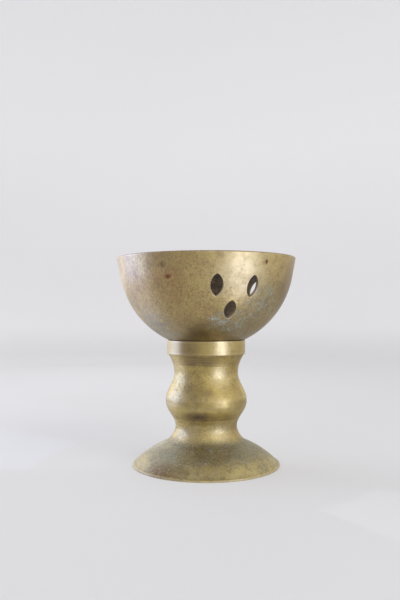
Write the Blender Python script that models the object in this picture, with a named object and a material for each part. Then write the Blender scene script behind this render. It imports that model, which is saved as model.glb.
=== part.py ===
"""Pierced brass incense burner: an open bowl screwed onto a turned pedestal.

Metres, +Z up. The origin is the centre of the face that the foot stands on. Each turned
piece is one closed outline in the XZ plane, spun about Z. The bowl, its stud and the lock
nut unscrew from the pedestal together, and lift the washer under the nut with them.
"""

from math import asin, cos, pi, radians, sin, tan

import bmesh
import bpy
from mathutils import Matrix, Vector

MM = 0.001
TURN_STEPS = 64
FASTENER_STEPS = 32
GAP = 0.3 * MM  # between pieces that touch on the real object

HEIGHT = 102.6 * MM
RIM_RADIUS = 44.5 * MM
FOOT_RADIUS = 36.5 * MM
COLLAR_TOP = 61.3 * MM

# Bowl: a ball's underside that straightens into a leaning wall near the rim.
BOWL_WALL = 1.8 * MM
BOWL_CENTRE = 101.0 * MM  # height of the ball's centre
WALL_LEAN = radians(10)
BOWL_CURVE = (RIM_RADIUS - (HEIGHT - BOWL_CENTRE) * tan(WALL_LEAN)) * cos(WALL_LEAN)
BOWL_SEAT = COLLAR_TOP + GAP
BOWL_FLOOR = 2.3 * MM  # thickness
RIM_BEVEL = 0.4 * MM

# Vents: pointed ovals in threes, a pair side by side with one below between them.
VENT_LENGTH = 10.2 * MM
VENT_WIDTH = 5.5 * MM
VENT_TIP = 1.4  # 1 is an ellipse, 2 has sharp tips
VENT_PAIR_DROP = radians(18.2)  # below level, seen from the ball's centre
VENT_SINGLE_DROP = radians(34.2)
VENT_PAIR_SPREAD = radians(11.8)  # each side of the single vent
VENT_GROUPS = [radians(a) for a in (18.3, 151.0, 263.0)]  # from -Y towards +X

# Pedestal, from the collar down. Radius and height of each narrowing and swelling.
COLLAR_RADIUS = 19.5 * MM
COLLAR_HEIGHT = 6.2 * MM
COLLAR_LEDGE = 0.5 * MM
COLLAR_BEVEL = 0.3 * MM
NECK_RADIUS, NECK_HEIGHT = 15.9 * MM, 45.5 * MM
BELLY_RADIUS, BELLY_TOP, BELLY_BASE = 20.25 * MM, 32.3 * MM, 31.3 * MM
WAIST_RADIUS, WAIST_HEIGHT = 15.3 * MM, 19.3 * MM
SHOULDER_RADIUS, SHOULDER_HEIGHT = 20.6 * MM, 11.2 * MM
SHOULDER_SLOPE = radians(22.6)
WAIST_PULL, SHOULDER_PULL = 3.3 * MM, 2.6 * MM  # how long the waist's curve follows each end
FOOT_CURVE = 48.0 * MM
FOOT_EDGE_SLOPE = radians(44.5)
FOOT_LIP = 0.95 * MM
FOOT_WALL = 2.6 * MM
HOLLOW_TOP_SLOPE = radians(17)
CORE_FLARE, CORE_FLARE_HEIGHT = 13.2 * MM, 13.0 * MM
CORE_MOUTH, CORE_MOUTH_HEIGHT = 12.2 * MM, 16.0 * MM
CORE_END = 11.4 * MM
CORE_ROUNDING = 3.5 * MM

# Threaded joint through the bowl's floor.
STUD_RADIUS = 4.0 * MM
STUD_BORE = STUD_RADIUS + GAP
STUD_BEVEL = 0.6 * MM
STUD_REACH = 7.5 * MM  # how far it screws into the collar
STUD_HEAD = 1.6 * MM  # and stands above the nut
HOLE_DEPTH = STUD_REACH + 0.5 * MM
DRILL_TIP = 1.5 * MM  # depth of the cone below the tapped hole
CEILING = 2.4 * MM  # brass between that cone and the hollow stem
WASHER_RADIUS, WASHER_HEIGHT = 8.0 * MM, 1.5 * MM
NUT_ACROSS_FLATS, NUT_HEIGHT = 13.0 * MM, 5.0 * MM

WASHER_BASE = BOWL_SEAT + BOWL_FLOOR + GAP
NUT_BASE = WASHER_BASE + WASHER_HEIGHT + GAP
NUT_TOP = NUT_BASE + NUT_HEIGHT
HOLE_BASE = COLLAR_TOP - HOLE_DEPTH
CORE_TOP = HOLE_BASE - DRILL_TIP - CEILING


def arc(centre, radius, start, end, count):
    """Points (r, z) along a circle's arc. Angles are up from the outward direction."""
    angles = [start + (end - start) * i / count for i in range(count + 1)]
    return [(centre[0] + radius * cos(a), centre[1] + radius * sin(a)) for a in angles]


def swell(start, end, count):
    """Points of an S curve that is upright at both ends, the start left out."""
    points = []
    for i in range(1, count + 1):
        share = i / count
        blend = (1 - cos(pi * share)) / 2
        radius = start[0] + (end[0] - start[0]) * blend
        points.append((radius, start[1] + (end[1] - start[1]) * share))
    return points


def bezier(a, b, c, d, count):
    """Points of a cubic curve, the start left out."""
    points = []
    for i in range(1, count + 1):
        t = i / count
        weights = ((1 - t) ** 3, 3 * t * (1 - t) ** 2, 3 * t * t * (1 - t), t**3)
        points.append(tuple(sum(w * p[k] for w, p in zip(weights, (a, b, c, d))) for k in (0, 1)))
    return points


def metal(name, colour, roughness):
    material = bpy.data.materials.new(name)
    material.use_nodes = True
    shader = material.node_tree.nodes["Principled BSDF"]
    shader.inputs["Base Color"].default_value = (*colour, 1)
    shader.inputs["Metallic"].default_value = 1
    shader.inputs["Roughness"].default_value = roughness
    return material


def add_object(name, mesh, material):
    piece = bpy.data.objects.new(name, mesh)
    bpy.context.scene.collection.objects.link(piece)
    if material:
        mesh.materials.append(material)
    mesh.shade_smooth()
    mesh.set_sharp_from_angle(angle=radians(30))
    return piece


def turned(name, outline, material, steps=TURN_STEPS, closed=True):
    """A turned piece. The outline runs down the outside and, on a hollow piece, up the inside.
    It is closed, or else both its ends are on the axis."""
    mesh = bpy.data.meshes.new(name)
    count = len(outline)
    edges = [(i, (i + 1) % count) for i in range(count if closed else count - 1)]
    mesh.from_pydata([(r, 0, z) for r, z in outline], edges, [])
    piece = add_object(name, mesh, material)
    spin = piece.modifiers.new("spin", "SCREW")
    spin.steps = steps
    spin.render_steps = steps
    spin.use_merge_vertices = True
    spin.merge_threshold = 0.01 * MM
    return piece


def cutter(name, mesh):
    piece = add_object(name, mesh, None)
    piece.hide_render = True
    piece.display_type = "WIRE"
    return piece


def cut(piece, tool):
    boolean = piece.modifiers.new("cut", "BOOLEAN")
    boolean.operation = "DIFFERENCE"
    boolean.object = tool


def vent_outline():
    """The pointed oval as (across, along) lengths."""
    count = 12
    points = []
    for i in range(count):
        turn = 2 * pi * i / count
        side = 1 if cos(turn) > 0 else -1
        across = side * VENT_WIDTH / 2 * abs(cos(turn)) ** VENT_TIP
        points.append((across, VENT_LENGTH / 2 * sin(turn)))
    return points


def vent_matrix(azimuth, drop):
    """Places a vent's cutter: X across, Y up the wall, Z straight out through it."""
    out = Vector((cos(drop) * sin(azimuth), -cos(drop) * cos(azimuth), -sin(drop)))
    across = Vector((cos(azimuth), sin(azimuth), 0))
    up = out.cross(across)
    turn = Matrix((across, up, out)).transposed().to_4x4()
    return Matrix.Translation((0, 0, BOWL_CENTRE)) @ turn


def vent_cutter():
    """All the vents' prisms, in one cutter that reaches through the wall on both sides."""
    depth = 4 * BOWL_WALL
    inner, outer = BOWL_CURVE - depth, BOWL_CURVE + depth
    mesh = bpy.data.meshes.new("vent_cutter")
    shape = bmesh.new()
    for group in VENT_GROUPS:
        places = [(group, VENT_SINGLE_DROP)]
        places += [(group + side * VENT_PAIR_SPREAD, VENT_PAIR_DROP) for side in (-1, 1)]
        for azimuth, drop in places:
            place = vent_matrix(azimuth, drop)
            base = [shape.verts.new(place @ Vector((x, y, inner))) for x, y in vent_outline()]
            face = shape.faces.new(base)
            grown = bmesh.ops.extrude_face_region(shape, geom=[face])
            moved = [item for item in grown["geom"] if isinstance(item, bmesh.types.BMVert)]
            travel = place.to_3x3() @ Vector((0, 0, outer - inner))
            bmesh.ops.translate(shape, verts=moved, vec=travel)
    bmesh.ops.recalc_face_normals(shape, faces=shape.faces)
    shape.to_mesh(mesh)
    shape.free()
    return cutter("vent_cutter", mesh)


def bowl():
    centre = (0, BOWL_CENTRE)
    inner_curve = BOWL_CURVE - BOWL_WALL
    rim_inner = RIM_RADIUS - BOWL_WALL / cos(WALL_LEAN)
    floor = BOWL_SEAT + BOWL_FLOOR
    seat_angle = -asin((BOWL_CENTRE - BOWL_SEAT) / BOWL_CURVE)
    floor_angle = -asin((BOWL_CENTRE - floor) / inner_curve)
    outline = [(rim_inner + RIM_BEVEL, HEIGHT), (RIM_RADIUS - RIM_BEVEL, HEIGHT)]
    outline += [(RIM_RADIUS, HEIGHT - RIM_BEVEL)]
    outline += arc(centre, BOWL_CURVE, -WALL_LEAN, seat_angle, 14)
    outline += [(STUD_BORE, BOWL_SEAT), (STUD_BORE, floor)]
    outline += arc(centre, inner_curve, floor_angle, -WALL_LEAN, 12)
    outline += [(rim_inner, HEIGHT - RIM_BEVEL)]
    piece = turned("bowl", outline, metal("bowl_brass", (0.42, 0.30, 0.14), 0.32))
    cut(piece, vent_cutter())


def pedestal():
    collar_base = COLLAR_TOP - COLLAR_HEIGHT
    cove_radius = COLLAR_RADIUS - COLLAR_LEDGE
    outline = [(0, HOLE_BASE - DRILL_TIP), (STUD_BORE, HOLE_BASE), (STUD_BORE, COLLAR_TOP)]
    outline += [(COLLAR_RADIUS - COLLAR_BEVEL, COLLAR_TOP)]
    outline += [(COLLAR_RADIUS, COLLAR_TOP - COLLAR_BEVEL), (COLLAR_RADIUS, collar_base)]
    outline += cove((cove_radius, collar_base), (NECK_RADIUS, NECK_HEIGHT), 5)
    outline += swell((NECK_RADIUS, NECK_HEIGHT), (BELLY_RADIUS, BELLY_TOP), 7)
    outline += [(BELLY_RADIUS, BELLY_BASE)]
    outline += swell((BELLY_RADIUS, BELLY_BASE), (WAIST_RADIUS, WAIST_HEIGHT), 7)
    outline += foot_outline()
    outline += core_outline()
    brass = metal("pedestal_brass", (0.36, 0.28, 0.14), 0.38)
    turned("pedestal", outline, brass, closed=False)


def cove(top, bottom, count):
    """A hollow that starts leaning in under the collar and ends upright at the neck."""
    points = []
    for i in range(count + 1):
        share = 1 - i / count
        radius = bottom[0] + (top[0] - bottom[0]) * share**2
        points.append((radius, bottom[1] + (top[1] - bottom[1]) * share))
    return points


def foot_outline():
    """From the waist out over the foot, round its lip and in along the face it stands on."""
    waist = (WAIST_RADIUS, WAIST_HEIGHT)
    shoulder = (SHOULDER_RADIUS, SHOULDER_HEIGHT)
    out_of_waist = (waist[0], waist[1] - WAIST_PULL)
    into_shoulder = (
        shoulder[0] - SHOULDER_PULL * cos(SHOULDER_SLOPE),
        shoulder[1] + SHOULDER_PULL * sin(SHOULDER_SLOPE),
    )
    points = bezier(waist, out_of_waist, into_shoulder, shoulder, 6)
    points += foot_arc(FOOT_CURVE, SHOULDER_SLOPE, FOOT_EDGE_SLOPE, 8)[1:]
    points += [(FOOT_RADIUS, FOOT_LIP), (FOOT_RADIUS, 0)]
    return points


def foot_arc(radius, start_slope, end_slope, count):
    """Part of the foot's dome, or of the hollow under it, between two downward slopes."""
    centre = (
        SHOULDER_RADIUS - FOOT_CURVE * sin(SHOULDER_SLOPE),
        SHOULDER_HEIGHT - FOOT_CURVE * cos(SHOULDER_SLOPE),
    )
    return arc(centre, radius, pi / 2 - start_slope, pi / 2 - end_slope, count)


def core_outline():
    """Up the hollow: under the foot, through the stem, and in to the middle of its ceiling."""
    radius = FOOT_CURVE - FOOT_WALL
    centre_height = SHOULDER_HEIGHT - FOOT_CURVE * cos(SHOULDER_SLOPE)
    ground_slope = pi / 2 - asin(-centre_height / radius)
    turn_centre = (CORE_END - CORE_ROUNDING, CORE_TOP - CORE_ROUNDING)
    points = foot_arc(radius, ground_slope, HOLLOW_TOP_SLOPE, 5)
    points += [(CORE_FLARE, CORE_FLARE_HEIGHT), (CORE_MOUTH, CORE_MOUTH_HEIGHT)]
    points += arc(turn_centre, CORE_ROUNDING, 0, pi / 2, 3)
    points += [(0, CORE_TOP)]
    return points


def stud():
    top = NUT_TOP + STUD_HEAD
    base = COLLAR_TOP - STUD_REACH
    outline = [(0, top), (STUD_RADIUS - STUD_BEVEL, top), (STUD_RADIUS, top - STUD_BEVEL)]
    outline += [(STUD_RADIUS, base + STUD_BEVEL), (STUD_RADIUS - STUD_BEVEL, base), (0, base)]
    brass = metal("stud_brass", (0.45, 0.33, 0.15), 0.35)
    turned("stud", outline, brass, FASTENER_STEPS, closed=False)


def washer():
    top = WASHER_BASE + WASHER_HEIGHT
    outline = [(STUD_BORE, top), (WASHER_RADIUS, top)]
    outline += [(WASHER_RADIUS, WASHER_BASE), (STUD_BORE, WASHER_BASE)]
    turned("washer", outline, metal("washer_brass", (0.42, 0.31, 0.15), 0.4), FASTENER_STEPS)


def prism(name, sides, radius, depth, middle):
    """A closed upright prism, the middle of its depth at a height."""
    mesh = bpy.data.meshes.new(name)
    shape = bmesh.new()
    bmesh.ops.create_cone(
        shape,
        cap_ends=True,
        segments=sides,
        radius1=radius,
        radius2=radius,
        depth=depth,
        matrix=Matrix.Translation((0, 0, middle)),
    )
    shape.to_mesh(mesh)
    shape.free()
    return mesh


def lock_nut():
    """A hexagon with a clear bore."""
    corner_radius = NUT_ACROSS_FLATS / cos(pi / 6) / 2
    middle = NUT_BASE + NUT_HEIGHT / 2
    hexagon = prism("lock_nut", 6, corner_radius, NUT_HEIGHT, middle)
    drill = prism("nut_bore_cutter", FASTENER_STEPS, STUD_BORE, 2 * NUT_HEIGHT, middle)
    piece = add_object("lock_nut", hexagon, metal("nut_brass", (0.45, 0.33, 0.15), 0.35))
    cut(piece, cutter("nut_bore_cutter", drill))


def main():
    for item in list(bpy.data.objects):
        bpy.data.objects.remove(item)
    pedestal()
    bowl()
    stud()
    washer()
    lock_nut()


main()
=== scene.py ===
from math import acos, asin, cos, pi, radians, sin, tan

import bmesh
import bpy
import numpy as np
from mathutils import Matrix, Vector, noise


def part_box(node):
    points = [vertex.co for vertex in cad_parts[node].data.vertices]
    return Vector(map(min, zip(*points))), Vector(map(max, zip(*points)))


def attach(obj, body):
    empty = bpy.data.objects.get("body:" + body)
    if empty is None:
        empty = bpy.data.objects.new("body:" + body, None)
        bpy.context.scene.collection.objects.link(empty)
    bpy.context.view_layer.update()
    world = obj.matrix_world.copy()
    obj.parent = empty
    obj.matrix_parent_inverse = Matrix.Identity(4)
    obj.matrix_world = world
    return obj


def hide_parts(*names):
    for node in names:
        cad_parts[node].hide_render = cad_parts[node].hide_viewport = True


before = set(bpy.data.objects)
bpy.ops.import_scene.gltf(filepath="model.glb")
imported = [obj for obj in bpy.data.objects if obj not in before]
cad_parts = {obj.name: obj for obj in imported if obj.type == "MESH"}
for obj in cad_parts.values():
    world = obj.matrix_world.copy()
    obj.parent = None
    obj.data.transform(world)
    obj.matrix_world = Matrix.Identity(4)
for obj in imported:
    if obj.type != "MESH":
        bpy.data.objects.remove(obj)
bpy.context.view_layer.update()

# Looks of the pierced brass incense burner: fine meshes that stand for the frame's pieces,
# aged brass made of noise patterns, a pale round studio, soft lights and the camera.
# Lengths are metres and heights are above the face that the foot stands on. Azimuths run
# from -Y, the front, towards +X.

MM = 0.001

BOWL_LOW, BOWL_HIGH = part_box("bowl")
PEDESTAL_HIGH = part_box("pedestal")[1]
STUD_LOW, STUD_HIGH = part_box("stud")
WASHER_LOW, WASHER_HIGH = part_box("washer")
NUT_LOW, NUT_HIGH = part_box("lock_nut")

TURN_STEPS = 192

# Bowl
HEIGHT = BOWL_HIGH.z
RIM_RADIUS = BOWL_HIGH.x
SEAT = BOWL_LOW.z + 0.25 * MM  # with the collar's top, it closes the gap that the solids need
BOWL_WALL = 1.8 * MM
BOWL_CENTRE = HEIGHT - 1.6 * MM
WALL_LEAN = radians(10)
BOWL_CURVE = (RIM_RADIUS - (HEIGHT - BOWL_CENTRE) * tan(WALL_LEAN)) * cos(WALL_LEAN)
BOWL_INNER_CURVE = BOWL_CURVE - BOWL_WALL
FLOOR = SEAT + 2.3 * MM
RIM_ROUND = 0.6 * MM
SEAT_STEP = 0.06 * MM  # the wall ends this far above the seat, which leaves a fine dark seam
BOLT_BORE = 4.3 * MM

# Vents, three to a group. Each group has its azimuth and how much further its vents lean.
VENT_GROUPS = [(radians(18.3), 0.0), (radians(151.0), radians(-9)), (radians(263.0), radians(3))]
# Width, length, azimuth from the group's middle, drop below level, lean.
VENTS = [
    (5.8 * MM, 10.7 * MM, radians(-12.3), radians(18.2), radians(1.0)),
    (5.6 * MM, 10.5 * MM, radians(11.5), radians(18.6), radians(4.5)),
    (5.5 * MM, 9.8 * MM, radians(-1.6), radians(34.1), radians(2.5)),
]
VENT_CHAMFER = 0.16 * MM
VENT_TIP = 1.4  # 1 is an ellipse, 2 has sharp tips

# Pedestal
COLLAR_TOP = SEAT - 0.04 * MM
COLLAR_TOP_ROUND, COLLAR_BASE_ROUND = 0.14 * MM, 0.3 * MM
FOOT_RADIUS = PEDESTAL_HIGH.x
COLLAR_RADIUS = 19.5 * MM
COLLAR_BASE = PEDESTAL_HIGH.z - 6.4 * MM
COLLAR_LEDGE = 0.5 * MM
NECK_RADIUS, NECK_HEIGHT = 15.9 * MM, 45.5 * MM
BELLY_RADIUS, BELLY_TOP, BELLY_BASE = 20.2 * MM, 32.3 * MM, 31.3 * MM
WAIST_RADIUS, WAIST_HEIGHT = 15.3 * MM, 19.3 * MM
SHOULDER_RADIUS, SHOULDER_HEIGHT = 20.6 * MM, 11.2 * MM
SHOULDER_SLOPE = radians(22.6)
WAIST_PULL, SHOULDER_PULL = 3.3 * MM, 2.6 * MM
FOOT_CURVE = 48.0 * MM
FOOT_EDGE_SLOPE = radians(44.3)
FOOT_LIP = 0.95 * MM
FOOT_LIP_ROUND = 0.3 * MM
FOOT_CHAMFER = 0.15 * MM
FOOT_WALL = 2.6 * MM
HOLLOW_TOP_SLOPE = radians(17)
CORE_MOUTH, CORE_MOUTH_HEIGHT = 12.2 * MM, 16.0 * MM
CORE_END = 11.4 * MM
CORE_ROUNDING = 3.5 * MM
HOLE_BASE = STUD_LOW.z - 0.5 * MM
HOLE_TIP = HOLE_BASE - 1.5 * MM
CORE_TOP = HOLE_TIP - 2.4 * MM
NECK_GROOVE = 49.5 * MM
BELLY_GROOVE = 23.7 * MM

# Fasteners
THREAD_PITCH = 1.25 * MM
THREAD_DEPTH = 0.68 * MM
STUD_RADIUS = STUD_HIGH.x
BORE_ROOT = 4.8 * MM
BORE_THREAD_DEPTH = 0.65 * MM


# ---- outlines


def arc(centre, radius, start, end, count):
    """Points (r, z) along a circle's arc. Angles are up from the outward direction."""
    angles = [start + (end - start) * i / count for i in range(count + 1)]
    return [(centre[0] + radius * cos(a), centre[1] + radius * sin(a)) for a in angles]


def line(start, end, count):
    """Evenly spaced points from start towards end, with the end left out."""
    return [tuple(start[k] + (end[k] - start[k]) * i / count for k in (0, 1)) for i in range(count)]


def swell(start, end, count):
    """Points of an S curve that is upright at both ends, the start left out."""
    points = []
    for i in range(1, count + 1):
        share = i / count
        blend = (1 - cos(pi * share)) / 2
        radius = start[0] + (end[0] - start[0]) * blend
        points.append((radius, start[1] + (end[1] - start[1]) * share))
    return points


def bezier(a, b, c, d, count):
    """Points of a cubic curve, the start left out."""
    points = []
    for i in range(1, count + 1):
        t = i / count
        weights = ((1 - t) ** 3, 3 * t * (1 - t) ** 2, 3 * t * t * (1 - t), t**3)
        points.append(tuple(sum(w * p[k] for w, p in zip(weights, (a, b, c, d))) for k in (0, 1)))
    return points


def cove(top, bottom, count):
    """A hollow that starts leaning in under the collar and ends upright at the neck."""
    points = []
    for i in range(count + 1):
        share = 1 - i / count
        radius = bottom[0] + (top[0] - bottom[0]) * share**2
        points.append((radius, bottom[1] + (top[1] - bottom[1]) * share))
    return points


def grooved(points, height, width, depth):
    """The same outline with a shallow groove turned into it at a height."""
    result = []
    for r, z in points:
        share = (z - height) / width
        result.append((r - depth * np.exp(-4 * share**2), z))
    return result


# ---- meshes


def turned_mesh(name, outline, steps=TURN_STEPS, closed=True, shape=None):
    """Spins an outline that runs down the outside and up the inside. shape(angle, r, z, i)
    may return another radius and height for point i of the outline."""
    count = len(outline)
    verts = []
    for s in range(steps):
        angle = 2 * pi * s / steps
        for i, (r, z) in enumerate(outline):
            if shape:
                r, z = shape(angle, r, z, i)
            verts.append((r * sin(angle), -r * cos(angle), z))
    faces = []
    for s in range(steps):
        here, there = s * count, (s + 1) % steps * count
        for i in range(count if closed else count - 1):
            j = (i + 1) % count
            faces.append((here + i, here + j, there + j, there + i))
    if not closed:
        faces.append([s * count for s in range(steps)])
        faces.append([s * count + count - 1 for s in reversed(range(steps))])
    mesh = bpy.data.meshes.new(name)
    mesh.from_pydata(verts, [], faces)
    return mesh


def ripple(angle, r, z, size, depth):
    """How far smooth unevenness moves a point of a turned piece, at most about depth."""
    return depth * noise.noise(Vector((cos(angle) * r, sin(angle) * r, z)) / size)


def add_object(name, mesh):
    piece = bpy.data.objects.new(name, mesh)
    bpy.context.scene.collection.objects.link(piece)
    return piece


def smooth(piece, angle=35):
    piece.data.shade_smooth()
    piece.data.set_sharp_from_angle(angle=radians(angle))


def apply_modifiers(piece):
    """Leaves the piece with its final mesh and no modifiers."""
    graph = bpy.context.evaluated_depsgraph_get()
    mesh = bpy.data.meshes.new_from_object(piece.evaluated_get(graph))
    piece.modifiers.clear()
    old = piece.data
    piece.data = mesh
    bpy.data.meshes.remove(old)


def boolean(piece, tool, operation="DIFFERENCE"):
    """Cuts the piece with a tool, which is then removed."""
    cut = piece.modifiers.new("cut", "BOOLEAN")
    cut.operation = operation
    cut.object = tool
    apply_modifiers(piece)
    mesh = tool.data
    bpy.data.objects.remove(tool)
    bpy.data.meshes.remove(mesh)


def set_attribute(piece, name, values):
    attribute = piece.data.attributes.new(name, "FLOAT", "POINT")
    attribute.data.foreach_set("value", np.asarray(values, np.float32))


def places(piece):
    found = np.empty(len(piece.data.vertices) * 3, np.float32)
    piece.data.vertices.foreach_get("co", found)
    return found.reshape(-1, 3)


# ---- bowl


def vent_point(azimuth, drop, distance):
    """A point that far from the ball's centre, in a direction below level."""
    level = distance * cos(drop)
    return Vector((level * sin(azimuth), -level * cos(azimuth), BOWL_CENTRE - distance * sin(drop)))


def vent_outline(width, length, grow, count=36):
    """The pointed oval as (across, along) lengths on the wall, its edge moved out by grow."""
    half_width, half_length = width / 2 + grow, length / 2 + grow * 1.4
    points = []
    for i in range(count):
        turn = 2 * pi * i / count
        side = 1 if cos(turn) > 0 else -1
        points.append((side * half_width * abs(cos(turn)) ** VENT_TIP, half_length * sin(turn)))
    return points


def vent_rings(vent, group):
    """The cutter's rings from inside to outside: narrow through the wall, wide at its faces."""
    azimuth_of_group, extra_lean = group
    width, length, side, drop, lean = vent
    lean += extra_lean
    clear = 1.5 * MM
    depths = [
        (BOWL_INNER_CURVE - clear, VENT_CHAMFER * 0.5 + clear * 0.5),
        (BOWL_INNER_CURVE + VENT_CHAMFER * 0.5, 0),
        (BOWL_CURVE - VENT_CHAMFER, 0),
        (BOWL_CURVE + clear, VENT_CHAMFER + clear),
    ]
    for distance, grow in depths:
        ring = []
        for across, along in vent_outline(width, length, grow):
            x = across * cos(lean) + along * sin(lean)
            y = along * cos(lean) - across * sin(lean)
            azimuth = azimuth_of_group + side + x / (BOWL_CURVE * cos(drop))
            ring.append(vent_point(azimuth, drop - y / BOWL_CURVE, distance))
        yield ring


def vent_cutter():
    mesh = bpy.data.meshes.new("vent_cutter")
    shape = bmesh.new()
    for group in VENT_GROUPS:
        for vent in VENTS:
            rings = [[shape.verts.new(p) for p in ring] for ring in vent_rings(vent, group)]
            count = len(rings[0])
            for lower, upper in zip(rings, rings[1:]):
                for i in range(count):
                    j = (i + 1) % count
                    shape.faces.new((lower[i], lower[j], upper[j], upper[i]))
            shape.faces.new(rings[0])
            shape.faces.new(rings[-1])
    bmesh.ops.recalc_face_normals(shape, faces=shape.faces)
    shape.to_mesh(mesh)
    shape.free()
    return add_object("vent_cutter", mesh)


def bowl_outline():
    """Down the outside from the rim, along the seat, and up the inside."""
    centre = (0, BOWL_CENTRE)
    rim_inner = RIM_RADIUS - BOWL_WALL / cos(WALL_LEAN)
    seat_angle = -asin((BOWL_CENTRE - SEAT - SEAT_STEP) / BOWL_CURVE)
    floor_angle = -asin((BOWL_CENTRE - FLOOR) / BOWL_INNER_CURVE)
    seat_radius = BOWL_CURVE * cos(seat_angle)
    floor_radius = BOWL_INNER_CURVE * cos(floor_angle)
    base_radius = seat_radius - 0.5 * MM
    outer_end = (BOWL_CURVE * cos(WALL_LEAN), BOWL_CENTRE - BOWL_CURVE * sin(WALL_LEAN))
    inner_end = (BOWL_INNER_CURVE * cos(WALL_LEAN), BOWL_CENTRE - BOWL_INNER_CURVE * sin(WALL_LEAN))
    rim_centre = (rim_inner + RIM_ROUND, HEIGHT - RIM_ROUND)
    rim_outer_centre = (RIM_RADIUS - RIM_ROUND, HEIGHT - RIM_ROUND)

    points = arc(rim_outer_centre, RIM_ROUND, pi / 2, 0, 6)
    points += line((RIM_RADIUS, HEIGHT - RIM_ROUND), outer_end, 18)[1:]
    points += arc(centre, BOWL_CURVE, -WALL_LEAN, seat_angle, 96)
    points += [(base_radius + 0.1 * MM, SEAT + SEAT_STEP), (base_radius, SEAT + 0.5 * SEAT_STEP)]
    points += line((base_radius - 0.1 * MM, SEAT), (BOLT_BORE, SEAT), 8)
    points += line((BOLT_BORE, SEAT), (BOLT_BORE, FLOOR), 4)
    inner = arc(centre, BOWL_INNER_CURVE, floor_angle + radians(2.6), -WALL_LEAN, 80)
    flat_end = (floor_radius - 1.2 * MM, FLOOR)
    down_the_wall = (inner[0][0] - 0.8 * MM, inner[0][1] - 0.45 * MM)
    points += line((BOLT_BORE, FLOOR), flat_end, 14)
    points += [flat_end] + bezier(flat_end, (floor_radius, FLOOR), down_the_wall, inner[0], 7)[:-1]
    points += inner[:-1]
    points += line(inner_end, (rim_inner, HEIGHT - RIM_ROUND), 16)
    points += arc(rim_centre, RIM_ROUND, pi, pi / 2, 6)
    return points


def bowl_unevenness(angle, r, z, i):
    """The hand-finished wall isn't quite true: soft waves and dents of under a tenth of a mm."""
    if r < 18 * MM:
        return r, z
    wave = ripple(angle, r, z, 14 * MM, 0.07 * MM) + ripple(angle, r, z, 4 * MM, 0.025 * MM)
    return r + wave, z


def make_bowl():
    mesh = turned_mesh("bowl_pierced", bowl_outline(), shape=bowl_unevenness)
    piece = add_object("bowl_pierced", mesh)
    boolean(piece, vent_cutter())
    smooth(piece)
    mark_bowl(piece)
    return piece


def mark_bowl(piece):
    """Stores what the finish follows: how far inside a point is, and how near to an edge."""
    at = places(piece)
    level = np.hypot(at[:, 0], at[:, 1])
    from_centre = np.hypot(level, at[:, 2] - BOWL_CENTRE)
    cone = (RIM_RADIUS - (HEIGHT - at[:, 2]) * tan(WALL_LEAN) - level) * cos(WALL_LEAN)
    above_ball = at[:, 2] > BOWL_CENTRE - BOWL_CURVE * sin(WALL_LEAN)
    depth = np.where(above_ball, cone, BOWL_CURVE - from_centre)
    inside = np.clip(depth / BOWL_WALL, 0, 1)
    inside[at[:, 2] < SEAT + 1.2 * SEAT_STEP] = 0
    set_attribute(piece, "inside", inside)

    edge = np.clip(1 - (HEIGHT - at[:, 2]) / (0.9 * MM), 0, 1)
    azimuth = np.arctan2(at[:, 0], -at[:, 1])
    drop = np.arcsin(np.clip((BOWL_CENTRE - at[:, 2]) / np.maximum(from_centre, MM), -1, 1))
    set_attribute(piece, "along", drop * BOWL_CURVE / MM)
    near = np.full(len(at), 99.0)
    for group, extra_lean in VENT_GROUPS:
        for width, length, side, vent_drop, lean in VENTS:
            turn = (azimuth - group - side + pi) % (2 * pi) - pi
            x = turn * BOWL_CURVE * cos(vent_drop)
            y = (vent_drop - drop) * BOWL_CURVE
            across = x * cos(lean + extra_lean) - y * sin(lean + extra_lean)
            along = x * sin(lean + extra_lean) + y * cos(lean + extra_lean)
            share = np.sqrt((across / (width / 2)) ** 2 + (along / (length / 2)) ** 2)
            near = np.minimum(near, np.abs(share - 1) * width / 2)
    set_attribute(piece, "vent", np.clip(1 - near / (1.6 * MM), 0, 1))
    set_attribute(piece, "edge", np.maximum(edge, np.clip(1 - near / (0.35 * MM), 0, 1)))


# ---- pedestal


def foot_arc(radius, start_slope, end_slope, count):
    """Part of the foot's dome, or of the hollow under it, between two downward slopes."""
    centre = (
        SHOULDER_RADIUS - FOOT_CURVE * sin(SHOULDER_SLOPE),
        SHOULDER_HEIGHT - FOOT_CURVE * cos(SHOULDER_SLOPE),
    )
    return arc(centre, radius, pi / 2 - start_slope, pi / 2 - end_slope, count)


def tool_mark(z):
    """How far the lathe's tool left the collar's face proud or low at a height."""
    return 0.018 * MM * sin(z / MM * 9.0) * sin(z / MM * 2.3)


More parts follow.
